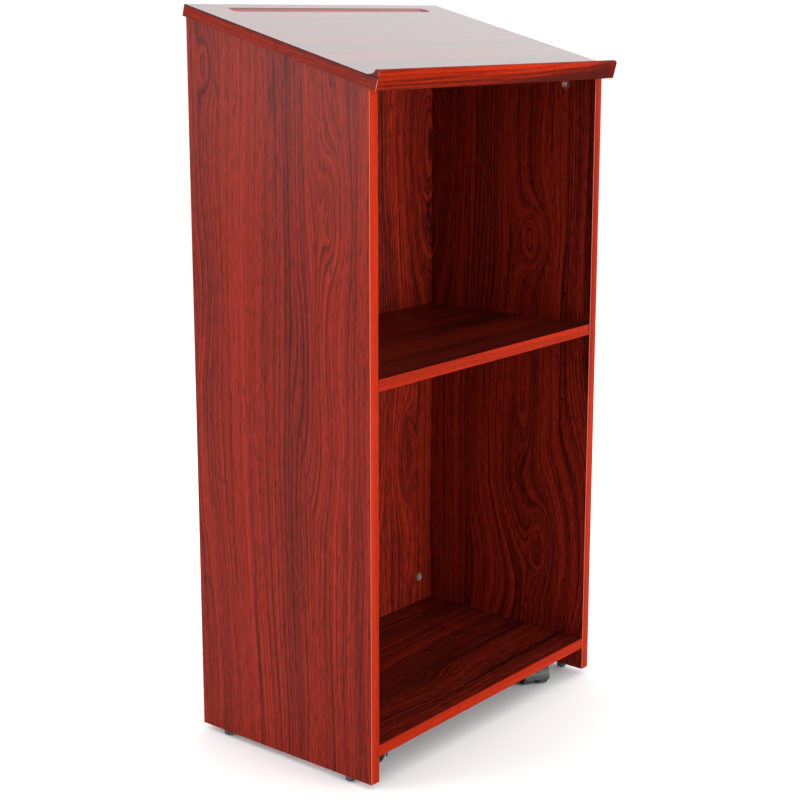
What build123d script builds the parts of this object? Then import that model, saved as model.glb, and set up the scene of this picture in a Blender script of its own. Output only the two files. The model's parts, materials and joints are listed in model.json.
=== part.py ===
"""Lectern podium: laminated board case with a sloped desk top, a loose shelf, floor glides and four casters.

Frame: X to the right of the person who speaks, Y away from them, Z up. The floor is Z = 0 and the
origin is under the middle of the whole lectern. Millimetres.
"""
from build123d import *
import os
from math import cos, radians, sin, tan

os.makedirs("parts", exist_ok=True)

# Case
BOARD = 18.0
CASE_WIDTH = 594.0
CASE_DEPTH = 358.0
FLOOR_GAP = 10.0  # floor to the underside of the side panels
OVERALL_HEIGHT = 1158.0
BOTTOM_TOP = 68.0  # upper face of the bottom board
SHELF_TOP = 630.0
SHELF_END_GAP = 1.75
SHELF_BACK_GAP = 2.0
SHELF_SETBACK = 1.0
BAND = 1.0  # thickness of the glued edge bands
BAND_ROUND = 0.6
END_BAND_CHAMFER = 0.4

# Desk top
SLOPE = radians(15.0)
TOP_OVERHANG = 7.0  # beyond each side panel
TOP_LENGTH = 388.5  # along the slope, stop rail included
RAIL_WIDTH = 22.0
RAIL_RISE = 10.5
RAIL_CREST = 3.5  # flat crest left between the cove and the front corner
RAIL_CORNER = 4.0
COVE_R = 15.0
CREST_ROUND = 1.2
GROOVE_LENGTH = 480.0
GROOVE_WIDTH = 24.0
GROOVE_DEPTH = 6.0
GROOVE_FROM_BACK = 33.5  # back edge of the top to the groove's middle, along the slope

# Shelf support holes and clips
PIN_INSET_FRONT = 53.0  # from the front edge
PIN_INSET_BACK = 51.0  # from the back panel
PIN_PITCH = 61.5
PIN_STEPS = (-3, -2, -1, 0, 1)  # rows of holes, counted from the row in use
PIN_HOLE_R = 2.5
PIN_HOLE_DEPTH = 10.0
CLIP_THICK = 1.2
CLIP_WIDTH = 11.0
CLIP_REACH = 13.0
CLIP_PEG_RISE = 2.5  # peg axis above the shelf's underside
CLIP_UP = 7.0
PEG_LENGTH = 9.0

# Cam locks: a turned cam in one board pulls on a bolt screwed into the next
CAM_R = 7.5
CAM_POCKET = 13.5
CAM_HEIGHT = 12.5
CAM_REACH = 34.5  # joint face to cam centre
CAM_REACH_TOP = 31.0
CAM_FROM_EDGE = 51.0  # joints under the desk top, from the front and back edges
CAM_FIT = 0.1  # clearance of a cam in its pocket
CAM_RIM = 1.2
CAM_RIM_DEPTH = 0.6
CAM_CROSS_LENGTH = 8.0
CAM_CROSS_WIDTH = 2.2
CAM_CROSS_DEPTH = 3.0
BOLT_CHANNEL_R = 4.0
BOLT_COLLAR = 2.0
BOLT_NECK_R = 2.5
BOLT_HEAD_R = 3.4
BOLT_THREAD_R = 3.0
BOLT_THREAD = 11.0
DOWEL_R = 4.0
DOWEL_HALF = 12.0  # reach into each board of a joint
DOWEL_CHAMFER = 1.0

# Glides
GLIDE_R = 8.5
GLIDE_HEIGHT = 8.8
GLIDE_ROUND = 3.0
GLIDE_NAIL_R = 1.2
GLIDE_NAIL = 14.0
GLIDE_Y = 130.0  # each way from the middle of the side panel

# Casters: twin wheel, top plate
PLATE = 38.0
PLATE_THICK = 2.5
PLATE_CORNER = 5.0
PLATE_HOLES = 26.0
SCREW_R = 2.0
SCREW_LENGTH = 12.0
SCREW_HEAD_R = 3.8
SCREW_HEAD = 2.0
SCREW_RECESS_R = 1.3
SCREW_RECESS = 1.0
PIN_R = 3.0
PIN_FOOT = 27.0  # lower end of the swivel pin above the floor
RUNNING = 0.05  # radial clearance of a turning fit
WHEEL_R = 20.0
WHEEL_WIDTH = 16.5
WHEEL_ROUND = 2.5
WHEEL_GAP = 0.5  # wheel to web
WEB = 9.5
TRAIL = 16.0
AXLE_R = 2.5
AXLE_CHAMFER = 0.4
AXLE_CAP = 3.0  # closed outer wall of a wheel
WHEEL_DISH_R = 15.0
WHEEL_HUB_R = 6.0
WHEEL_DISH = 1.5
HOOD_INNER = 21.5
HOOD_OUTER = 24.0
HOOD_SKIRT = 15.0  # lowest edge of the hood above the floor
HOOD_BOSS_R = 9.0
HOOD_WINDOW = (5.0, 8.0)  # along the axle, round the hood
HOOD_WINDOW_DEPTH = 2.0
HOOD_WINDOW_RISE = radians(29)  # above the level of the axle, on the trailing side
SWIVEL_GAP = 0.2
CASTER_X = 202.0
CASTER_INSET = 58.0  # swivel pin from the front and back edges of the bottom board
CASTER_TURN = {"front_left": -140.0, "front_right": -36.0, "back_left": 35.0, "back_right": 152.0}

# Heights and places worked out from those
SLOPE_UP = Vector(0, -sin(SLOPE), cos(SLOPE))  # square to the desk surface
SLOPE_DOWN = Vector(0, -cos(SLOPE), -sin(SLOPE))  # down the desk, towards the speaker
NOSE_REACH = (
    TOP_LENGTH * cos(SLOPE)
    + (BOARD + RAIL_RISE) * sin(SLOPE)
    - RAIL_CORNER * (cos(SLOPE) + sin(SLOPE) - 1)
)
CASE_BACK = NOSE_REACH / 2
CASE_FRONT = CASE_BACK - CASE_DEPTH
CASE_MID = CASE_BACK - CASE_DEPTH / 2
BACK_FACE = CASE_BACK - BOARD  # inner face of the back panel
INNER_X = CASE_WIDTH / 2 - BOARD
SIDE_MID_X = CASE_WIDTH / 2 - BOARD / 2
TOP_UNDER_BACK = OVERALL_HEIGHT - BOARD * cos(SLOPE)
SHELF_UNDER = SHELF_TOP - BOARD
BOTTOM_UNDER = BOTTOM_TOP - BOARD
PEG_Z = SHELF_UNDER + CLIP_PEG_RISE
PIN_YS = (CASE_FRONT + PIN_INSET_FRONT, BACK_FACE - PIN_INSET_BACK)
CASTER_YS = {"front": CASE_FRONT + CASTER_INSET, "back": BACK_FACE - CASTER_INSET}
SIDES = {"left": -1, "right": 1}


def under_top(y):
    """Height of the desk top's underside at y."""
    return TOP_UNDER_BACK - (CASE_BACK - y) * tan(SLOPE)


def across_top(distance, rise):
    """Point on the lectern's middle plane: distance down the slope from the back, rise above the underside."""
    return Vector(0, CASE_BACK, TOP_UNDER_BACK) + SLOPE_DOWN * distance + SLOPE_UP * rise


SLOPE_SECTION = Plane(origin=across_top(0, 0), x_dir=SLOPE_DOWN, z_dir=(-1, 0, 0))
DESK = Plane(origin=across_top(0, BOARD), x_dir=(1, 0, 0), z_dir=SLOPE_UP)
DOWN_THE_SLOPE = Axis(across_top(0, 0), SLOPE_DOWN)


def drill(bores):
    """Cuts (mouth, direction, radius, depth) bores out of the sub-part being built."""
    for mouth, direction, radius, depth in bores:
        with BuildSketch(Plane(origin=mouth, z_dir=direction)) as outline:
            Circle(radius)
        extrude(outline.sketch, amount=depth, mode=Mode.SUBTRACT)


def finish(builder, name):
    builder.part.label = name
    export_step(builder.part, f"parts/{name}.step")


# Joints between boards: where each cam, bolt and dowel sits. A joint is
# (joint point, direction from the joint into the cam's board, cam face normal, reach).
def side_joints(side, ys):
    """Points of a side panel's sloped top joint, on its middle plane."""
    return [Vector(side * SIDE_MID_X, y, under_top(y)) for y in ys]


TOP_JOINTS = [
    (point, SLOPE_UP * -1, Vector(-side, 0, 0), CAM_REACH_TOP)
    for side in SIDES.values()
    for point in side_joints(side, (CASE_FRONT + CAM_FROM_EDGE, CASE_BACK - CAM_FROM_EDGE))
]
BACK_JOINTS = [
    (Vector(side * INNER_X, CASE_BACK - BOARD / 2, z), Vector(-side, 0, 0), Vector(0, -1, 0), CAM_REACH)
    for side in SIDES.values()
    for z in (BOTTOM_TOP + 47.0, 1085.0)
]
BOTTOM_JOINTS = [
    (Vector(side * INNER_X, y, BOTTOM_UNDER + BOARD / 2), Vector(-side, 0, 0), Vector(0, 0, -1), CAM_REACH)
    for side in SIDES.values()
    for y in (CASTER_YS["front"], CASTER_YS["back"])
]
# Dowels: (joint point, axis).
TOP_DOWELS = [
    (point, SLOPE_UP)
    for side in SIDES.values()
    for point in side_joints(side, (CASE_MID - 60.0, CASE_MID + 60.0))
]
BACK_DOWELS = [
    (Vector(side * INNER_X, CASE_BACK - BOARD / 2, z), Vector(side, 0, 0))
    for side in SIDES.values()
    for z in (400.0, 800.0)
]
BOTTOM_DOWELS = [
    (Vector(side * INNER_X, y, BOTTOM_UNDER + BOARD / 2), Vector(side, 0, 0))
    for side in SIDES.values()
    for y in (CASE_MID - 60.0, CASE_MID + 60.0)
]


def cam_bores(joints):
    """Pocket and bolt channel of each cam, in the board that holds the cam."""
    bores = []
    for point, inward, face, reach in joints:
        bores.append((point + inward * reach + face * (BOARD / 2), face * -1, CAM_R, CAM_POCKET))
        bores.append((point, inward, BOLT_CHANNEL_R, reach))
    return bores


def bolt_bores(joints):
    return [(point, inward * -1, BOLT_THREAD_R, BOLT_THREAD) for point, inward, face, reach in joints]


def dowel_bores(dowels, sense):
    return [(point, axis * sense, DOWEL_R, DOWEL_HALF) for point, axis in dowels]


def on_side(items, side):
    """The joints or dowels whose point lies on this side of the lectern."""
    return [item for item in items if item[0].X * side > 0]


def side_panel(side):
    """Upright board with a sloped top edge, and its two columns of shelf holes."""
    inner_x = side * INNER_X
    core_front = CASE_FRONT + BAND
    core_back = CASE_BACK - BAND
    glide_ys = (CASE_MID - GLIDE_Y, CASE_MID + GLIDE_Y)
    with BuildPart() as panel:
        with BuildSketch(Plane.YZ.offset(inner_x)):
            with BuildLine():
                Polyline(
                    (core_front, FLOOR_GAP),
                    (core_back, FLOOR_GAP),
                    (core_back, under_top(core_back)),
                    (core_front, under_top(core_front)),
                    close=True,
                )
            make_face()
        extrude(amount=side * BOARD)
        drill(
            (Vector(inner_x, y, PEG_Z + step * PIN_PITCH), Vector(side, 0, 0), PIN_HOLE_R, PIN_HOLE_DEPTH)
            for y in PIN_YS
            for step in PIN_STEPS
        )
        drill(cam_bores(on_side(TOP_JOINTS, side)))
        drill(dowel_bores(on_side(TOP_DOWELS, side), -1))
        drill(bolt_bores(on_side(BACK_JOINTS + BOTTOM_JOINTS, side)))
        drill(dowel_bores(on_side(BACK_DOWELS + BOTTOM_DOWELS, side), 1))
        drill(
            (Vector(side * SIDE_MID_X, y, FLOOR_GAP), Vector(0, 0, 1), GLIDE_NAIL_R, GLIDE_NAIL)
            for y in glide_ys
        )
    return panel


def side_band(side, edge_y, outward):
    """Edge band glued on a side panel's front or back edge, with eased long edges."""
    core_y = edge_y - outward * BAND
    with BuildPart() as band:
        with BuildSketch(Plane.YZ.offset(side * INNER_X)):
            with BuildLine():
                Polyline(
                    (core_y, FLOOR_GAP),
                    (edge_y, FLOOR_GAP),
                    (edge_y, under_top(edge_y)),
                    (core_y, under_top(core_y)),
                    close=True,
                )
            make_face()
        extrude(amount=side * BOARD)
        outer_face = band.faces().sort_by(Axis.Y)[-1 if outward > 0 else 0]
        fillet(outer_face.edges().filter_by(Axis.Z), BAND_ROUND)
    return band


for side_name, side in SIDES.items():
    finish(side_panel(side), f"{side_name}_side_panel")
    finish(side_band(side, CASE_FRONT, -1), f"{side_name}_front_edge_band")
    finish(side_band(side, CASE_BACK, 1), f"{side_name}_back_edge_band")

with BuildPart() as back_panel:
    with BuildSketch(Plane.YZ.offset(-INNER_X)):
        with BuildLine():
            Polyline(
                (BACK_FACE, FLOOR_GAP),
                (CASE_BACK, FLOOR_GAP),
                (CASE_BACK, under_top(CASE_BACK)),
                (BACK_FACE, under_top(BACK_FACE)),
                close=True,
            )
        make_face()
    extrude(amount=2 * INNER_X)
    drill(cam_bores(BACK_JOINTS))
    drill(dowel_bores(BACK_DOWELS, -1))
finish(back_panel, "back_panel")

caster_places = {
    f"{end}_{side_name}": Vector(side * CASTER_X, CASTER_YS[end], 0)
    for end in ("front", "back")
    for side_name, side in SIDES.items()
}
caster_screw_places = [
    place + Vector(dx * PLATE_HOLES / 2, dy * PLATE_HOLES / 2, 0)
    for place in caster_places.values()
    for dx in (-1, 1)
    for dy in (-1, 1)
]


def level_board(front_y, back_y, half_width, under, bores=()):
    """Flat board between two depths, without its front band."""
    with BuildPart() as board:
        with BuildSketch(Plane.XY.offset(under)):
            with Locations((0, (front_y + BAND + back_y) / 2)):
                Rectangle(2 * half_width, back_y - front_y - BAND)
        extrude(amount=BOARD)
        drill(bores)
    return board


def level_band(front_y, half_width, under):
    """Front edge band of a flat board."""
    with BuildPart() as band:
        with BuildSketch(Plane.XY.offset(under)):
            with Locations((0, front_y + BAND / 2)):
                Rectangle(2 * half_width, BAND)
        extrude(amount=BOARD)
        fillet(band.faces().sort_by(Axis.Y)[0].edges().filter_by(Axis.X), BAND_ROUND)
    return band


screw_bores = [
    (place + Vector(0, 0, BOTTOM_UNDER), Vector(0, 0, 1), SCREW_R, SCREW_LENGTH - PLATE_THICK)
    for place in caster_screw_places
]
bottom_bores = cam_bores(BOTTOM_JOINTS) + dowel_bores(BOTTOM_DOWELS, -1) + screw_bores
finish(level_board(CASE_FRONT, BACK_FACE, INNER_X, BOTTOM_UNDER, bottom_bores), "bottom_board")
finish(level_band(CASE_FRONT, INNER_X, BOTTOM_UNDER), "bottom_front_edge_band")

SHELF_FRONT = CASE_FRONT + SHELF_SETBACK
SHELF_BACK = BACK_FACE - SHELF_BACK_GAP
SHELF_HALF = INNER_X - SHELF_END_GAP
finish(level_board(SHELF_FRONT, SHELF_BACK, SHELF_HALF, SHELF_UNDER), "adjustable_shelf")
finish(level_band(SHELF_FRONT, SHELF_HALF, SHELF_UNDER), "shelf_front_edge_band")

# Desk top: the board, its bands and the stop rail that keeps papers on the slope
TOP_HALF = CASE_WIDTH / 2 + TOP_OVERHANG
BOARD_LENGTH = TOP_LENGTH - RAIL_WIDTH

# The pen groove is a cove: a round cutter run along an axis above the desk surface
GROOVE_R = (GROOVE_WIDTH**2 / 4 + GROOVE_DEPTH**2) / (2 * GROOVE_DEPTH)
GROOVE_RUN = GROOVE_LENGTH - GROOVE_WIDTH
groove_axis = DESK * Pos(0, -GROOVE_FROM_BACK, GROOVE_R - GROOVE_DEPTH)

with BuildPart() as top_board:
    with BuildSketch(SLOPE_SECTION.offset(-TOP_HALF + BAND)):
        with Locations(((BAND + BOARD_LENGTH) / 2, BOARD / 2)):
            Rectangle(BOARD_LENGTH - BAND, BOARD)
    extrude(amount=2 * (TOP_HALF - BAND))
    with Locations(groove_axis):
        Cylinder(GROOVE_R, GROOVE_RUN, rotation=(0, 90, 0), mode=Mode.SUBTRACT)
        with Locations((-GROOVE_RUN / 2, 0, 0), (GROOVE_RUN / 2, 0, 0)):
            Sphere(GROOVE_R, mode=Mode.SUBTRACT)
    drill(bolt_bores(TOP_JOINTS))
    drill(dowel_bores(TOP_DOWELS, 1))
finish(top_board, "top_board")


def rail_section(plane):
    """Section of the stop rail: a cove that rises from the desk surface to a rounded front corner."""
    rail_top = BOARD + RAIL_RISE
    crest_back = TOP_LENGTH - RAIL_CORNER - RAIL_CREST
    with BuildSketch(plane) as section:
        with BuildLine():
            Polyline(
                (BOARD_LENGTH, BOARD),
                (BOARD_LENGTH, 0),
                (TOP_LENGTH, 0),
                (TOP_LENGTH, rail_top - RAIL_CORNER),
            )
            RadiusArc((TOP_LENGTH, rail_top - RAIL_CORNER), (TOP_LENGTH - RAIL_CORNER, rail_top), -RAIL_CORNER)
            Line((TOP_LENGTH - RAIL_CORNER, rail_top), (crest_back, rail_top))
            RadiusArc((crest_back, rail_top), (BOARD_LENGTH, BOARD), COVE_R)
        make_face()
        fillet(section.vertices().sort_by_distance((crest_back, rail_top))[0], CREST_ROUND)
    return section.sketch


with BuildPart() as stop_rail:
    extrude(rail_section(SLOPE_SECTION.offset(-TOP_HALF + BAND)), amount=2 * (TOP_HALF - BAND))
finish(stop_rail, "stop_rail")


def top_end_band(side):
    """Band on the left or right end of the desk top, board and rail alike."""
    end_plane = SLOPE_SECTION.offset(side * (BAND - TOP_HALF))
    with BuildPart() as band:
        with BuildSketch(end_plane) as board_end:
            with Locations(((BAND + BOARD_LENGTH) / 2, BOARD / 2)):
                Rectangle(BOARD_LENGTH - BAND, BOARD)
        extrude(board_end.sketch, amount=-side * BAND)
        extrude(rail_section(end_plane), amount=-side * BAND)
        outer_face = band.faces().sort_by(Axis.X)[-1 if side > 0 else 0]
        chamfer(outer_face.edges(), END_BAND_CHAMFER)
    return band


with BuildPart() as top_back_band:
    with BuildSketch(SLOPE_SECTION.offset(-TOP_HALF)):
        with Locations((BAND / 2, BOARD / 2)):
            Rectangle(BAND, BOARD)
    extrude(amount=2 * TOP_HALF)
    fillet(top_back_band.faces().sort_by(DOWN_THE_SLOPE)[0].edges().filter_by(Axis.X), BAND_ROUND)
finish(top_back_band, "top_back_edge_band")
for side_name, side in SIDES.items():
    finish(top_end_band(side), f"top_{side_name}_edge_band")


# Fasteners of the case
def cam_locks(joints):
    """Turned cams: a drum with a slot that takes the bolt's head, and a cross recess in its face."""
    with BuildPart() as cams:
        for point, inward, face, reach in joints:
            centre = point + inward * reach
            mouth = Plane(origin=centre + face * (BOARD / 2), x_dir=inward, z_dir=face)
            with BuildSketch(mouth) as drum:
                Circle(CAM_R - CAM_FIT)
            extrude(drum.sketch, amount=-CAM_HEIGHT)
            with BuildSketch(mouth.offset(-CAM_RIM_DEPTH)) as dish:
                Circle(CAM_R - CAM_RIM)
            extrude(dish.sketch, amount=CAM_RIM_DEPTH, mode=Mode.SUBTRACT)
            with BuildSketch(mouth) as cross:
                Rectangle(CAM_CROSS_LENGTH, CAM_CROSS_WIDTH)
                Rectangle(CAM_CROSS_WIDTH, CAM_CROSS_LENGTH)
            extrude(cross.sketch, amount=-CAM_CROSS_DEPTH, mode=Mode.SUBTRACT)
            with BuildSketch(Plane(origin=point, z_dir=inward)) as slot:
                Circle(BOLT_CHANNEL_R)
            extrude(slot.sketch, amount=reach + BOLT_HEAD_R + CAM_FIT, mode=Mode.SUBTRACT)
    return cams


def cam_bolts(joints):
    """Bolts: a thread in one board, and a neck with a round head inside the cam of the other."""
    with BuildPart() as bolts:
        for point, inward, face, reach in joints:
            for start, length, radius in (
                (-BOLT_THREAD, BOLT_THREAD, BOLT_THREAD_R),
                (0, BOLT_COLLAR, BOLT_CHANNEL_R - CAM_FIT),
                (BOLT_COLLAR, reach - BOLT_COLLAR, BOLT_NECK_R),
                (reach - BOLT_HEAD_R, 2 * BOLT_HEAD_R, BOLT_HEAD_R),
            ):
                with BuildSketch(Plane(origin=point + inward * start, z_dir=inward)) as section:
                    Circle(radius)
                extrude(section.sketch, amount=length)
    return bolts


def dowels(places):
    """Fluted beech dowels, as plain rods with eased ends."""
    with BuildPart() as rods:
        for point, axis in places:
            with BuildSketch(Plane(origin=point - axis * DOWEL_HALF, z_dir=axis)) as section:
                Circle(DOWEL_R)
            extrude(section.sketch, amount=2 * DOWEL_HALF)
        chamfer(rods.edges().filter_by(GeomType.CIRCLE), DOWEL_CHAMFER)
    return rods


for joint_name, joints, places in (
    ("top", TOP_JOINTS, TOP_DOWELS),
    ("back", BACK_JOINTS, BACK_DOWELS),
    ("bottom", BOTTOM_JOINTS, BOTTOM_DOWELS),
):
    finish(cam_locks(joints), f"{joint_name}_cam_locks")
    finish(cam_bolts(joints), f"{joint_name}_cam_bolts")
    finish(dowels(places), f"{joint_name}_dowels")

# Clips: a peg in the side panel, a leg down the gap at the shelf's end and a ledge under the shelf
with BuildPart() as shelf_clips:
    for side in SIDES.values():
        wall = side * INNER_X
        for y in PIN_YS:
            with BuildSketch(Plane.XZ.offset(-y - CLIP_WIDTH / 2)) as angle:
                with BuildLine():
                    Polyline(
                        (wall, PEG_Z + CLIP_UP),
                        (wall, SHELF_UNDER - CLIP_THICK),
                        (wall - side * CLIP_REACH, SHELF_UNDER - CLIP_THICK),
                        (wall - side * CLIP_REACH, SHELF_UNDER),
                        (wall - side * CLIP_THICK, SHELF_UNDER),
                        (wall - side * CLIP_THICK, PEG_Z + CLIP_UP),
                        close=True,
                    )
                make_face()
            extrude(angle.sketch, amount=CLIP_WIDTH)
            with BuildSketch(Plane(origin=(wall, y, PEG_Z), z_dir=(side, 0, 0))) as peg:
                Circle(PIN_HOLE_R)
            extrude(peg.sketch, amount=PEG_LENGTH)
finish(shelf_clips, "shelf_clips")

with BuildPart() as floor_glides:
    glide_spots = [
        (side * SIDE_MID_X, CASE_MID + end * GLIDE_Y) for side in SIDES.values() for end in (-1, 1)
    ]
    with BuildSketch(Plane.XY.offset(FLOOR_GAP - GLIDE_HEIGHT)):
        with Locations(glide_spots):
            Circle(GLIDE_R)
    extrude(amount=GLIDE_HEIGHT)
    fillet(floor_glides.edges().group_by(Axis.Z)[0], GLIDE_ROUND)
    with BuildSketch(Plane.XY.offset(FLOOR_GAP)):
        with Locations(glide_spots):
            Circle(GLIDE_NAIL_R)
    extrude(amount=GLIDE_NAIL)
finish(floor_glides, "floor_glides")

# Casters: the parts fixed to the bottom board
PLATE_UNDER = BOTTOM_UNDER - PLATE_THICK
caster_spots = [(place.X, place.Y) for place in caster_places.values()]
screw_spots = [(place.X, place.Y) for place in caster_screw_places]

with BuildPart() as caster_plates:
    with BuildSketch(Plane.XY.offset(PLATE_UNDER)):
        with Locations(caster_spots):
            RectangleRounded(PLATE, PLATE, PLATE_CORNER)
            Circle(PIN_R, mode=Mode.SUBTRACT)
        with Locations(screw_spots):
            Circle(SCREW_R, mode=Mode.SUBTRACT)
    extrude(amount=PLATE_THICK)
finish(caster_plates, "caster_plates")

with BuildPart() as caster_swivel_pins:
    with BuildSketch(Plane.XY.offset(PIN_FOOT)):
        with Locations(caster_spots):
            Circle(PIN_R)
    extrude(amount=BOTTOM_UNDER - PIN_FOOT)
finish(caster_swivel_pins, "caster_swivel_pins")

with BuildPart() as caster_screws:
    with BuildSketch(Plane.XY.offset(PLATE_UNDER)):
        with Locations(screw_spots):
            Circle(SCREW_R)
    extrude(amount=SCREW_LENGTH)
    with BuildSketch(Plane.XY.offset(PLATE_UNDER - SCREW_HEAD)):
        with Locations(screw_spots):
            Circle(SCREW_HEAD_R)
    extrude(amount=SCREW_HEAD)
    fillet(caster_screws.edges().group_by(Axis.Z)[0], SCREW_HEAD / 2)
    with BuildSketch(Plane.XY.offset(PLATE_UNDER - SCREW_HEAD)):
        with Locations(screw_spots):
            RegularPolygon(SCREW_RECESS_R, 6)
    extrude(amount=SCREW_RECESS, mode=Mode.SUBTRACT)
finish(caster_screws, "caster_screws")


# Casters: the parts that turn. The axle lies along the local X axis, and the swivel pin
# stands at the local origin, TRAIL ahead of the axle.
def axle_plane(place, turn, along):
    """Plane square to a caster's axle, at a distance along it from the middle of the hood."""
    swivel = Plane(place).rotated((0, 0, turn))
    centre = place + swivel.x_dir * along - swivel.y_dir * TRAIL + Vector(0, 0, WHEEL_R)
    return Plane(origin=centre, x_dir=swivel.y_dir, z_dir=swivel.x_dir)


def hood_window_plane(place, turn):
    """Plane that touches the outside of a caster's hood on its trailing side."""
    middle = axle_plane(place, turn, 0)
    outward = Vector(0, 0, sin(HOOD_WINDOW_RISE)) - middle.x_dir * cos(HOOD_WINDOW_RISE)
    return Plane(origin=middle.origin + outward * HOOD_OUTER, x_dir=middle.z_dir, z_dir=outward)


def caster_hood(place, turn):
    half_width = WEB / 2 + WHEEL_GAP + WHEEL_WIDTH
    with BuildPart() as hood:
        with BuildSketch(axle_plane(place, turn, -half_width)) as shell:
            Circle(HOOD_OUTER)
        extrude(shell.sketch, amount=2 * half_width)
        with BuildSketch(Plane(place).offset(PIN_FOOT)) as boss:
            Circle(HOOD_BOSS_R)
        extrude(boss.sketch, amount=PLATE_UNDER - SWIVEL_GAP - PIN_FOOT)
        for end in (-1, 1):
            with BuildSketch(axle_plane(place, turn, end * WEB / 2)) as well:
                Circle(HOOD_INNER)
            extrude(well.sketch, amount=end * half_width, mode=Mode.SUBTRACT)
        with BuildSketch(Plane(place).offset(-HOOD_OUTER)) as below_skirt:
            Rectangle(4 * HOOD_OUTER, 4 * HOOD_OUTER)
        extrude(below_skirt.sketch, amount=HOOD_OUTER + HOOD_SKIRT, mode=Mode.SUBTRACT)
        with BuildSketch(Plane(place).offset(PIN_FOOT)) as socket:
            Circle(PIN_R + RUNNING)
        extrude(socket.sketch, amount=BOTTOM_UNDER, mode=Mode.SUBTRACT)
        with BuildSketch(axle_plane(place, turn, -WEB)) as axle_seat:
            Circle(AXLE_R)
        extrude(axle_seat.sketch, amount=2 * WEB, mode=Mode.SUBTRACT)
        with BuildSketch(hood_window_plane(place, turn)) as window:
            Rectangle(*HOOD_WINDOW)
        extrude(window.sketch, amount=-HOOD_WINDOW_DEPTH, mode=Mode.SUBTRACT)
    return hood


def caster_axle(place, turn):
    half_length = WEB / 2 + WHEEL_GAP + WHEEL_WIDTH - AXLE_CAP - WHEEL_GAP
    with BuildPart() as axle:
        with BuildSketch(axle_plane(place, turn, -half_length)) as section:
            Circle(AXLE_R)
        extrude(section.sketch, amount=2 * half_length)
        chamfer(axle.edges().filter_by(GeomType.CIRCLE), AXLE_CHAMFER)
    return axle


def caster_wheel(place, turn, end):
    """One wheel of the pair: closed and dished outside, with a blind bore from the inside."""
    inner_plane = axle_plane(place, turn, end * (WEB / 2 + WHEEL_GAP))
    outer_plane = axle_plane(place, turn, end * (WEB / 2 + WHEEL_GAP + WHEEL_WIDTH))
    with BuildPart() as wheel:
        with BuildSketch(inner_plane) as disc:
            Circle(WHEEL_R)
        extrude(disc.sketch, amount=end * WHEEL_WIDTH)
        fillet(wheel.edges().filter_by(GeomType.CIRCLE), WHEEL_ROUND)
        with BuildSketch(outer_plane) as dish:
            Circle(WHEEL_DISH_R)
            Circle(WHEEL_HUB_R, mode=Mode.SUBTRACT)
        extrude(dish.sketch, amount=-end * WHEEL_DISH, mode=Mode.SUBTRACT)
        with BuildSketch(inner_plane) as bore:
            Circle(AXLE_R + RUNNING)
        extrude(bore.sketch, amount=end * (WHEEL_WIDTH - AXLE_CAP), mode=Mode.SUBTRACT)
    return wheel


for corner, place in caster_places.items():
    turn = CASTER_TURN[corner]
    finish(caster_hood(place, turn), f"caster_{corner}_hood")
    finish(caster_axle(place, turn), f"caster_{corner}_axle")
    for wheel_name, end in (("a", -1), ("b", 1)):
        finish(caster_wheel(place, turn, end), f"caster_{corner}_wheel_{wheel_name}")
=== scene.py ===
"""Looks for the lectern podium: mahogany laminate, edge bands, fittings and casters in a white studio."""

import json
import math

import bpy
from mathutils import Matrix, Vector


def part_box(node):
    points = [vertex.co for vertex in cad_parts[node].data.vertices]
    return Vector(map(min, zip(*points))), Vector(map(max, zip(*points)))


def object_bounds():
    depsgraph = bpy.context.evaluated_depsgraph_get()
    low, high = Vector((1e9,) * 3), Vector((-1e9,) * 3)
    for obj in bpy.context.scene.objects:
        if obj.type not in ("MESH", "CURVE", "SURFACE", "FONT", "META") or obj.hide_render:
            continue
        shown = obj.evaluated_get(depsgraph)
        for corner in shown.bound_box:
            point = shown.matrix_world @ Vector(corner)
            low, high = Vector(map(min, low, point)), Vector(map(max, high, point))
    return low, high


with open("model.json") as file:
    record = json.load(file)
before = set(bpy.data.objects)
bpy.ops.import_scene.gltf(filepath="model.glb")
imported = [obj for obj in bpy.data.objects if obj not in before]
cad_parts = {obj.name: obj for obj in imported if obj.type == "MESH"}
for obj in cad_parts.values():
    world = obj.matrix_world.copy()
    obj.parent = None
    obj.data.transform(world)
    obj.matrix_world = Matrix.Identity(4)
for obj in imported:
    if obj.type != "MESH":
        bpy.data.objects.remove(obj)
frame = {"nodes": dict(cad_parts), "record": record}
cad_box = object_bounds()

SLOPE = math.radians(15.0)
UP_SLOPE = (0.0, -math.sin(SLOPE), math.cos(SLOPE))
BOARD = 0.018

# The desk surface's distance from the frame's origin, square to the slope, from the CAD box's top back edge
DESK_BACK_Y = cad_box[1][1] - BOARD * math.sin(SLOPE)
DESK_RISE = math.cos(SLOPE) * cad_box[1][2] - math.sin(SLOPE) * DESK_BACK_Y

# Middle of the right side panel's thickness, and of the back panel's
SIDE_MIDDLE = sum(corner.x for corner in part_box("right_side_panel")) / 2
BACK_MIDDLE = sum(corner.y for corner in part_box("back_panel")) / 2

# Turns that carry each grain direction onto the local Z axis of the wood pattern
GRAIN_TURN = {
    "upright": (0.0, 0.0, 0.0),
    "level": (0.0, math.radians(-90.0), 0.0),
    "down_slope": (math.radians(90.0) - SLOPE, 0.0, 0.0),
}

# How far the slow noises of the wood pattern push its grain lines aside, in metres
SWAY_PUSH, WANDER_PUSH, FIGURE_PUSH = 0.09, 0.006, 0.045

# Growth rings to the metre across the grain, and how many rings their uneven spacing shifts them by
RINGS_PER_METRE, RING_DRIFT = 115.0, 7.0

# Darkness at shares of one growth ring's width: faint in the early wood, strong in the narrow late wood
LATE_WOOD = [
    (0.0, (0.4, 0.4, 0.4)),
    (0.1, (0.0, 0.0, 0.0)),
    (0.6, (0.08, 0.08, 0.08)),
    (0.88, (1.0, 1.0, 1.0)),
    (1.0, (0.4, 0.4, 0.4)),
]

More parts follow.
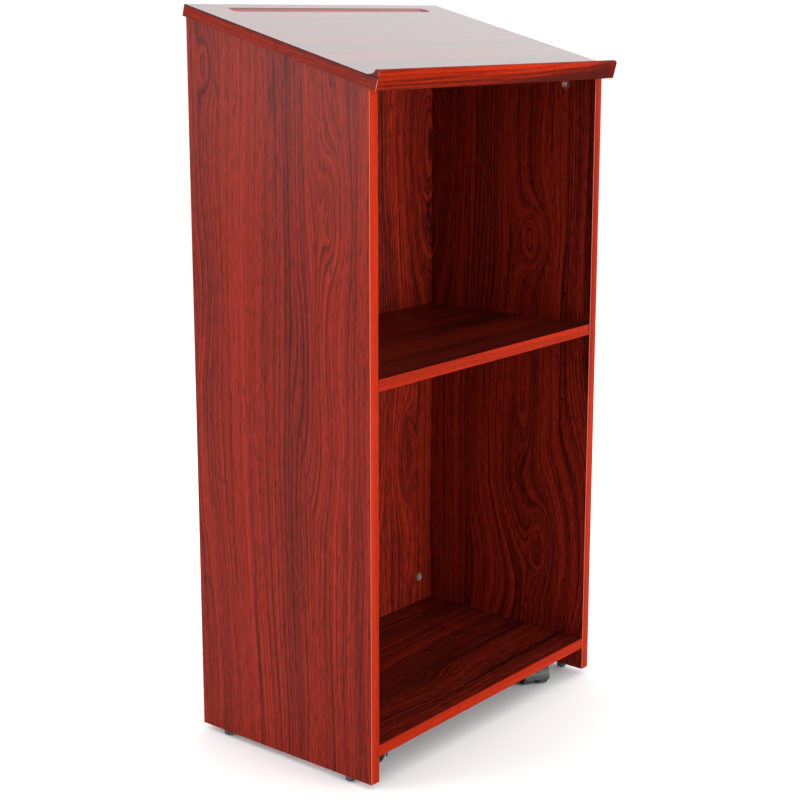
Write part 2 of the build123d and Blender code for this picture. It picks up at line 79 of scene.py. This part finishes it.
# Where the four tones of a wood lie on its pattern, and the pattern's middle on inner and outer faces: the
# lower inner middle is painted shade on faces inside the case
TONE_STOPS = (0.2, 0.42, 0.6, 0.86)
SHADED_INNER_MIDDLE, OUTER_MIDDLE = 0.38, 0.475

# Share of the contrast that the case's outer faces keep
OUTER_CALM = 0.62


class Shader:
    """A material under construction, with short ways to add and join nodes."""

    def __init__(self, name):
        self.material = bpy.data.materials.new(name)
        self.material.use_nodes = True
        self.tree = self.material.node_tree
        self.tree.nodes.clear()

    def node(self, kind, inputs, **settings):
        made = self.tree.nodes.new(f"ShaderNode{kind}")
        for key, value in settings.items():
            setattr(made, key, value)
        for key, value in inputs.items():
            if isinstance(value, bpy.types.NodeSocket):
                self.tree.links.new(value, made.inputs[key])
            else:
                made.inputs[key].default_value = value
        return made

    def math(self, operation, *values):
        return self.node("Math", dict(enumerate(values)), operation=operation).outputs[0]

    def noise(self, vector, scale, detail=2.0, roughness=0.5, shift=(0.0, 0.0, 0.0)):
        """Noise from 0 to 1 with its own scale along each axis of the vector."""
        stretched = self.node("Mapping", {"Vector": vector, "Scale": scale, "Location": shift})
        made = self.node(
            "TexNoise",
            {"Vector": stretched.outputs[0], "Scale": 1.0, "Detail": detail, "Roughness": roughness},
        )
        return made.outputs["Fac"]

    def remap(self, value, low, high, new_low=0.0, new_high=1.0):
        """The value carried from one range to another, and held at its ends."""
        made = self.node(
            "MapRange",
            {"Value": value, "From Min": low, "From Max": high, "To Min": new_low, "To Max": new_high},
        )
        return made.outputs[0]

    def ramp(self, value, stops):
        """Colour at a value, from stops of (position, colour) with even blends between them."""
        made = self.node("ValToRGB", {"Fac": value})
        elements = made.color_ramp.elements
        while len(elements) < len(stops):
            elements.new(0.5)
        for element, (position, colour) in zip(elements, stops):
            element.position = position
            element.color = (*colour, 1.0)
        return made.outputs["Color"]

    def mix(self, share, first, second):
        """The first colour where the share is 0, the second where it is 1."""
        made = self.node("Mix", {0: share, 6: first, 7: second}, data_type="RGBA")
        return made.outputs[2]

    def bump(self, height, distance, strength):
        made = self.node("Bump", {"Height": height, "Distance": distance, "Strength": strength})
        return made.outputs[0]

    def surface(self, **inputs):
        named = {key.replace("_", " "): value for key, value in inputs.items()}
        made = self.node("BsdfPrincipled", named)
        self.node("OutputMaterial", {"Surface": made.outputs[0]})
        return self.material


def weighted(shader, terms):
    """Sum of (value, weight) terms, each value taken about 0.5."""
    total = 0.0
    for value, weight in terms:
        centred = shader.math("SUBTRACT", value, 0.5)
        total = shader.math("MULTIPLY_ADD", centred, weight, total)
    return total


def knot_lift(shader, place, knots):
    """How far knots of (place, half width, half height, push) move the grain lines aside, in metres."""
    total = 0.0
    for centre, half_width, half_height, push in knots:
        from_knot = shader.node("VectorMath", {0: place, 1: centre}, operation="SUBTRACT").outputs[0]
        reach = (1.0 / half_width, 1.0 / half_width, 1.0 / half_height)
        scaled = shader.node("VectorMath", {0: from_knot, 1: reach}, operation="MULTIPLY").outputs[0]
        square = shader.node("VectorMath", {0: scaled, 1: scaled}, operation="DOT_PRODUCT").outputs["Value"]
        fading = shader.math("ADD", shader.math("MULTIPLY", square, square), 1.0)
        total = shader.math("ADD", shader.math("DIVIDE", push, fading), total)
    return total


def grain_flow(shader, place, turned, knots):
    """A point's place across the grain lines, in metres, and the vector that the grain noises follow."""
    parts = shader.node("SeparateXYZ", {"Vector": turned}).outputs
    sway = shader.noise(turned, (2.1, 2.1, 0.9))
    wander = shader.noise(turned, (10.0, 10.0, 2.4))
    figure = shader.noise(turned, (5.2, 5.2, 1.7), 1.0, 0.4)
    across = shader.math("ADD", parts["X"], parts["Y"])
    across = shader.math("MULTIPLY_ADD", sway, SWAY_PUSH, across)
    across = shader.math("MULTIPLY_ADD", wander, WANDER_PUSH, across)
    across = shader.math("MULTIPLY_ADD", shader.remap(figure, 0.56, 0.8), FIGURE_PUSH, across)
    if knots:
        across = shader.math("ADD", knot_lift(shader, place, knots), across)
    flow = shader.node("CombineXYZ", {0: across, 1: parts["X"], 2: parts["Z"]}).outputs[0]
    return across, flow


def late_wood(shader, across, flow):
    """Dark late wood of the growth rings, from 0 to 1, strongest where the rings' spacing noise is high."""
    spacing = shader.noise(flow, (16.0, 4.0, 0.9))
    years = shader.math("MULTIPLY_ADD", spacing, RING_DRIFT, shader.math("MULTIPLY", across, RINGS_PER_METRE))
    line = shader.ramp(shader.math("FRACT", years), LATE_WOOD)
    return shader.math("MULTIPLY", line, shader.remap(spacing, 0.36, 0.58, 0.25, 1.0))


def veins(shader, flow):
    """1 along thin dark veins, where a noise passes through its middle."""
    from_vein = shader.math("SUBTRACT", shader.noise(flow, (75.0, 4.0, 1.1), 1.0), 0.5)
    return shader.remap(shader.math("ABSOLUTE", from_vein), 0.0, 0.035, 1.0, 0.0)


def upright_arris(shader):
    """1 where an edge band turns from a face across X to a face across Y, 0 on its flat faces."""
    normal = shader.node("SeparateXYZ", {"Vector": shader.node("TexCoord", {}).outputs["Normal"]}).outputs
    turning = shader.math("ABSOLUTE", shader.math("MULTIPLY", normal["X"], normal["Y"]))
    return shader.remap(turning, 0.18, 0.45)


def outer_side(shader, place):
    """1 outside the middle of the side and back panels' thickness, 0 towards the inside of the case."""
    parts = shader.node("SeparateXYZ", {"Vector": place}).outputs
    beyond_sides = shader.math("SUBTRACT", shader.math("ABSOLUTE", parts["X"]), SIDE_MIDDLE)
    beyond_back = shader.math("SUBTRACT", parts["Y"], BACK_MIDDLE)
    return shader.remap(shader.math("MAXIMUM", beyond_sides, beyond_back), -0.003, 0.003)


def along_desk(shader):
    """How nearly a face lies along the desk surface: 1 on the desk, less on the walls of the pen groove."""
    normal = shader.node("TexCoord", {}).outputs["Normal"]
    facing = shader.node("VectorMath", {0: normal, 1: UP_SLOPE}, operation="DOT_PRODUCT").outputs["Value"]
    return shader.math("ABSOLUTE", facing)


def glue_line(shader, place):
    """1 in the line where an end band meets the desk surface, 0 below it, and a faint tint above it."""
    rise = shader.node("VectorMath", {0: place, 1: UP_SLOPE}, operation="DOT_PRODUCT").outputs["Value"]
    above = shader.remap(rise, DESK_RISE + 0.001, DESK_RISE + 0.005, 1.0, 0.3)
    return shader.math("MULTIPLY", shader.remap(rise, DESK_RISE - 0.0018, DESK_RISE - 0.001), above)


def wood(
    name,
    grain,
    tones,
    knots=(),
    sweep=1.0,
    streak=1.0,
    rings=1.0,
    fibre=1.0,
    contrast=1.0,
    relief=1.0,
    roughness=0.34,
    level=0.5,
    coat=0.0,
    arris_highlight=None,
    cove_shade=None,
    glued=None,
):
    """Wood: grain lines that bend round knots and figures, growth rings, pores and fibres under a satin film.

    The tones run from dark to bright. Sweep, streak, rings and fibre weigh the pattern from its broadest
    part to its finest, and contrast spreads it over the tones. Level and coat are the specular level and
    the weight of the clear coat. The arris colour is a painted highlight along the bands' rounded arrises,
    the cove colours paint shade on the cove's steep walls and grow paler towards its flatter floor, and
    glued is the colour of a joint.
    """
    shader = Shader(name)
    place = shader.node("TexCoord", {}).outputs["Object"]
    turned = shader.node("Mapping", {"Vector": place, "Rotation": GRAIN_TURN[grain]}).outputs[0]
    across, flow = grain_flow(shader, place, turned, knots)

    broad = shader.noise(flow, (28.0, 4.0, 0.7))
    bands = shader.noise(flow, (115.0, 4.0, 0.9), 3.0, 0.55)
    lines = shader.noise(flow, (430.0, 4.0, 2.0), 2.0, 0.6)
    dashes = shader.noise(turned, (420.0, 420.0, 55.0), 1.0)
    threads = shader.noise(turned, (1300.0, 1300.0, 40.0), 1.0)
    pattern = weighted(
        shader,
        [
            (broad, 0.5 * sweep),
            (bands, 0.8 * streak),
            (lines, 0.5 * streak),
            (dashes, 0.5 * fibre),
            (threads, 0.5 * fibre),
            (late_wood(shader, across, flow), -0.3 * rings),
            (veins(shader, flow), -0.12 * rings),
        ],
    )
    outside = outer_side(shader, place)
    spread = shader.remap(outside, 0.0, 1.0, contrast, OUTER_CALM * contrast)
    # Faces inside the case get the lower middle tone, painted shade of the case's interior
    middle = shader.remap(outside, 0.0, 1.0, SHADED_INNER_MIDDLE, OUTER_MIDDLE)
    tone = shader.math("MULTIPLY_ADD", pattern, spread, middle)
    colour = shader.ramp(tone, list(zip(TONE_STOPS, tones)))
    pores = shader.noise(turned, (520.0, 520.0, 40.0), 1.0, 0.5, (3.0, 1.0, 2.0))
    pore = shader.remap(pores, 0.62, 0.7)
    colour = shader.mix(shader.math("MULTIPLY", pore, 0.6 * fibre), colour, (*tones[0], 1.0))
    if arris_highlight:
        # Painted highlight: a pale pink line on the arrises that turn from X to Y, standing in for a
        # softbox's glint
        colour = shader.mix(upright_arris(shader), colour, (*arris_highlight, 1.0))
    if glued:
        colour = shader.mix(glue_line(shader, place), colour, (*glued, 1.0))
    # Painted shade on the cove's steep walls, paler towards its flatter floor, fading into the film where a
    # face lies along the desk
    if cove_shade:
        lying = along_desk(shader)
        colour = shader.mix(shader.remap(lying, 0.95, 0.99), shader.ramp(lying, cove_shade), colour)

    film = shader.noise(place, (240.0, 240.0, 240.0))
    height = shader.math("MULTIPLY_ADD", film, 0.3, shader.math("MULTIPLY", threads, 0.6))
    height = shader.math("SUBTRACT", height, shader.math("MULTIPLY", pore, 0.8))
    return shader.surface(
        Base_Color=colour,
        Roughness=shader.remap(film, 0.3, 0.7, roughness - 0.03 * relief, roughness + 0.04 * relief),
        Specular_IOR_Level=level,
        Normal=shader.bump(height, 0.00004 * relief, 0.6),
        Coat_Weight=coat,
        Coat_Roughness=roughness,
        Coat_IOR=1.6,
    )


def metal(name, colour, roughness, scratch):
    """Plated or die-cast metal: fine cloudy tone, small pits and short scratches."""
    shader = Shader(name)
    place = shader.node("TexCoord", {}).outputs["Object"]
    cloud = shader.noise(place, (900.0, 900.0, 900.0), 3.0, 0.6)
    grit = shader.noise(place, (4200.0, 4200.0, 4200.0), 1.0)
    scores = shader.noise(place, (3800.0, 500.0, 900.0), 2.0, 0.6)
    dull = tuple(0.62 * channel for channel in colour)
    tone = shader.mix(shader.remap(cloud, 0.3, 0.7), (*dull, 1.0), (*colour, 1.0))
    height = shader.math("MULTIPLY_ADD", scores, scratch, shader.math("MULTIPLY", grit, 0.5))
    return shader.surface(
        Base_Color=tone,
        Metallic=1.0,
        Roughness=shader.remap(cloud, 0.3, 0.7, roughness + 0.08, roughness - 0.05),
        Normal=shader.bump(height, 0.00003, 0.5),
    )


def plastic(name, colour, roughness, grain_size):
    """Moulded plastic with a fine spark-eroded texture and faint handling marks."""
    shader = Shader(name)
    place = shader.node("TexCoord", {}).outputs["Object"]
    grit = shader.noise(place, (grain_size,) * 3, 2.0, 0.6)
    marks = shader.noise(place, (160.0, 160.0, 160.0), 3.0, 0.6)
    worn = tuple(2.1 * channel + 0.006 for channel in colour)
    tone = shader.mix(shader.remap(marks, 0.42, 0.8), (*colour, 1.0), (*worn, 1.0))
    return shader.surface(
        Base_Color=tone,
        Roughness=shader.remap(marks, 0.3, 0.7, roughness - 0.04, roughness + 0.07),
        Normal=shader.bump(grit, 0.00006, 0.5),
    )


# Tones of each printed film, from its darkest lines to its brightest
UPRIGHT_TONES = ((0.03, 0.003, 0.0025), (0.09, 0.007, 0.004), (0.18, 0.011, 0.0045), (0.3, 0.02, 0.007))
# The level boards' film is the upright film painted darker, as painted shade on the shelf and bottom board
# inside the case
SHADED_LEVEL_TONES = ((0.018, 0.003, 0.0025), (0.05, 0.0045, 0.003), (0.1, 0.0075, 0.0035), (0.18, 0.013, 0.005))
BAND_TONES = ((0.17, 0.008, 0.001), (0.26, 0.012, 0.0013), (0.35, 0.017, 0.0017), (0.44, 0.025, 0.0022))
RAIL_TONES = ((0.045, 0.003, 0.001), (0.1, 0.005, 0.001), (0.2, 0.009, 0.001), (0.34, 0.016, 0.0015))
BEECH_TONES = ((0.30, 0.17, 0.08), (0.42, 0.26, 0.13), (0.5, 0.33, 0.18), (0.58, 0.4, 0.24))
# Pale pink of the painted highlight on the bands' rounded arrises, where they face between X and Y
PAINTED_ARRIS_HIGHLIGHT = (0.5, 0.22, 0.18)
GLUE = (0.05, 0.007, 0.006)

# Colours over the pen groove's cove, by how nearly a face lies along the desk: black and dark red on the
# steep walls are painted shade, and the red grows paler and pinker towards the flatter floor
COVE_SHADE_RAMP = [
    (0.63, (0.03, 0.003, 0.003)),
    (0.72, (0.24, 0.013, 0.01)),
    (0.86, (0.34, 0.03, 0.024)),
    (0.94, (0.42, 0.12, 0.1)),
]

# Knots of the upright boards: place in the frame, half width, half height and push, in metres
UPRIGHT_KNOTS = [
    ((-0.297, -0.105, 0.87), 0.024, 0.1, 0.036),
    ((-0.297, 0.150, 1.068), 0.016, 0.04, 0.025),
    ((0.279, -0.055, 0.765), 0.03, 0.055, 0.065),
    ((0.279, -0.075, 0.225), 0.022, 0.06, 0.05),
    ((0.279, -0.04, 0.5), 0.02, 0.12, 0.04),
    ((0.25, 0.173, 0.92), 0.045, 0.14, 0.08),
    ((0.262, 0.173, 0.745), 0.032, 0.05, 0.034),
    ((0.2, 0.173, 0.36), 0.028, 0.09, 0.05),
]

# Settings that both kinds of edge band share
BAND = {"streak": 0.5, "rings": 0.15, "fibre": 0.5, "level": 0.02, "arris_highlight": PAINTED_ARRIS_HIGHLIGHT}

FINISHES = {
    "laminate_upright": wood(
        "laminate_upright", "upright", UPRIGHT_TONES, knots=UPRIGHT_KNOTS, contrast=1.1, level=0.07
    ),
    "laminate_level": wood("laminate_level", "level", SHADED_LEVEL_TONES, contrast=1.4, level=0.12),
    "laminate_desk": wood(
        "laminate_desk",
        "level",
        UPRIGHT_TONES,
        streak=0.9,
        contrast=1.2,
        relief=0.1,
        roughness=0.26,
        level=0.8,
        coat=1.0,
        cove_shade=COVE_SHADE_RAMP,
    ),
    "laminate_rail": wood(
        "laminate_rail", "level", RAIL_TONES, sweep=4.0, streak=0.5, rings=0.8, fibre=0.4, level=0.012
    ),
    "edge_upright": wood("edge_upright", "upright", BAND_TONES, **BAND),
    "edge_level": wood("edge_level", "level", BAND_TONES, **BAND),
    "edge_desk_end": wood(
        "edge_desk_end",
        "down_slope",
        RAIL_TONES,
        streak=0.8,
        rings=0.4,
        level=0.04,
        arris_highlight=PAINTED_ARRIS_HIGHLIGHT,
        glued=GLUE,
    ),
    "beech": wood("beech", "level", BEECH_TONES, streak=0.4, rings=0.3, roughness=0.55),
    "cam_zinc": metal("cam_zinc", (0.9, 0.86, 0.8), 0.4, 0.3),
    "nickel_steel": metal("nickel_steel", (0.72, 0.69, 0.64), 0.24, 0.6),
    "zinc_steel": metal("zinc_steel", (0.66, 0.68, 0.72), 0.28, 0.5),
    "black_plastic": plastic("black_plastic", (0.028, 0.029, 0.031), 0.38, 2600.0),
    "black_nylon": plastic("black_nylon", (0.012, 0.012, 0.013), 0.33, 3400.0),
}

for part in frame["record"]["subparts"]:
    shown = frame["nodes"][part["node"]]
    shown.data.materials.clear()
    shown.data.materials.append(FINISHES[part["material_slot"]])


def area_light(name, place, target, width, height, power):
    """A softbox at a place, facing a target."""
    lamp = bpy.data.lights.new(name, "AREA")
    lamp.shape = "RECTANGLE"
    lamp.size, lamp.size_y, lamp.energy = width, height, power
    stand = bpy.data.objects.new(name, lamp)
    stand.location = place
    stand.rotation_euler = (Vector(target) - Vector(place)).to_track_quat("-Z", "Y").to_euler()
    bpy.context.scene.collection.objects.link(stand)


# Studio: a wide pale floor under an even white sky, with a softbox on each side of the lectern
FLOOR_RADIUS = 30.0
SKY_STRENGTH = 1.05
bpy.ops.mesh.primitive_circle_add(vertices=96, radius=FLOOR_RADIUS, fill_type="NGON")
floor = bpy.context.object
floor.name = "studio_floor"
paper = Shader("studio_paper")
paper_place = paper.node("TexCoord", {}).outputs["Object"]
paper_cloud = paper.noise(paper_place, (3.0, 3.0, 3.0), 3.0)
paper_tone = paper.ramp(paper_cloud, [(0.3, (0.955, 0.955, 0.955)), (0.7, (0.975, 0.975, 0.975))])
floor.data.materials.append(paper.surface(Base_Color=paper_tone, Roughness=0.9))

world = bpy.data.worlds.new("studio_sky")
world.use_nodes = True
sky = world.node_tree.nodes["Background"].inputs
sky["Color"].default_value = (1.0, 1.0, 1.0, 1.0)
sky["Strength"].default_value = SKY_STRENGTH
bpy.context.scene.world = world

area_light("front_softbox", (0.6, -3.4, 0.65), (0.0, 0.0, 0.6), 1.8, 1.1, 105.0)
area_light("left_softbox", (-2.9, 1.8, 1.2), (-0.2, 0.0, 0.8), 1.2, 1.0, 42.0)
area_light("right_softbox", (3.2, -0.4, 1.5), (0.0, 0.0, 0.6), 1.6, 1.8, 40.0)
area_light("back_softbox", (-0.6, 3.4, 1.3), (0.0, 0.1, 0.7), 1.8, 1.8, 40.0)

# Camera at the height of the desk top, seeing the open front and the left side
PITCH, YAW = math.radians(-11.764), math.radians(39.128)
SENSOR_WIDTH = 36.0
FOCAL_RATIO = 2.045  # focal length over sensor width
camera_data = bpy.data.cameras.new("camera")
camera_data.sensor_width = SENSOR_WIDTH
camera_data.lens = SENSOR_WIDTH * FOCAL_RATIO
camera_data.shift_y = -0.056
camera = bpy.data.objects.new("camera", camera_data)
camera.location = (-2.0316, -1.6328, 1.1424)
sight = Vector((math.cos(PITCH) * math.cos(YAW), math.cos(PITCH) * math.sin(YAW), math.sin(PITCH)))
camera.rotation_euler = sight.to_track_quat("-Z", "Y").to_euler()
bpy.context.scene.collection.objects.link(camera)
bpy.context.scene.camera = camera

bpy.context.scene.view_settings.view_transform = "Standard"
bpy.context.scene.cycles.use_denoising = True
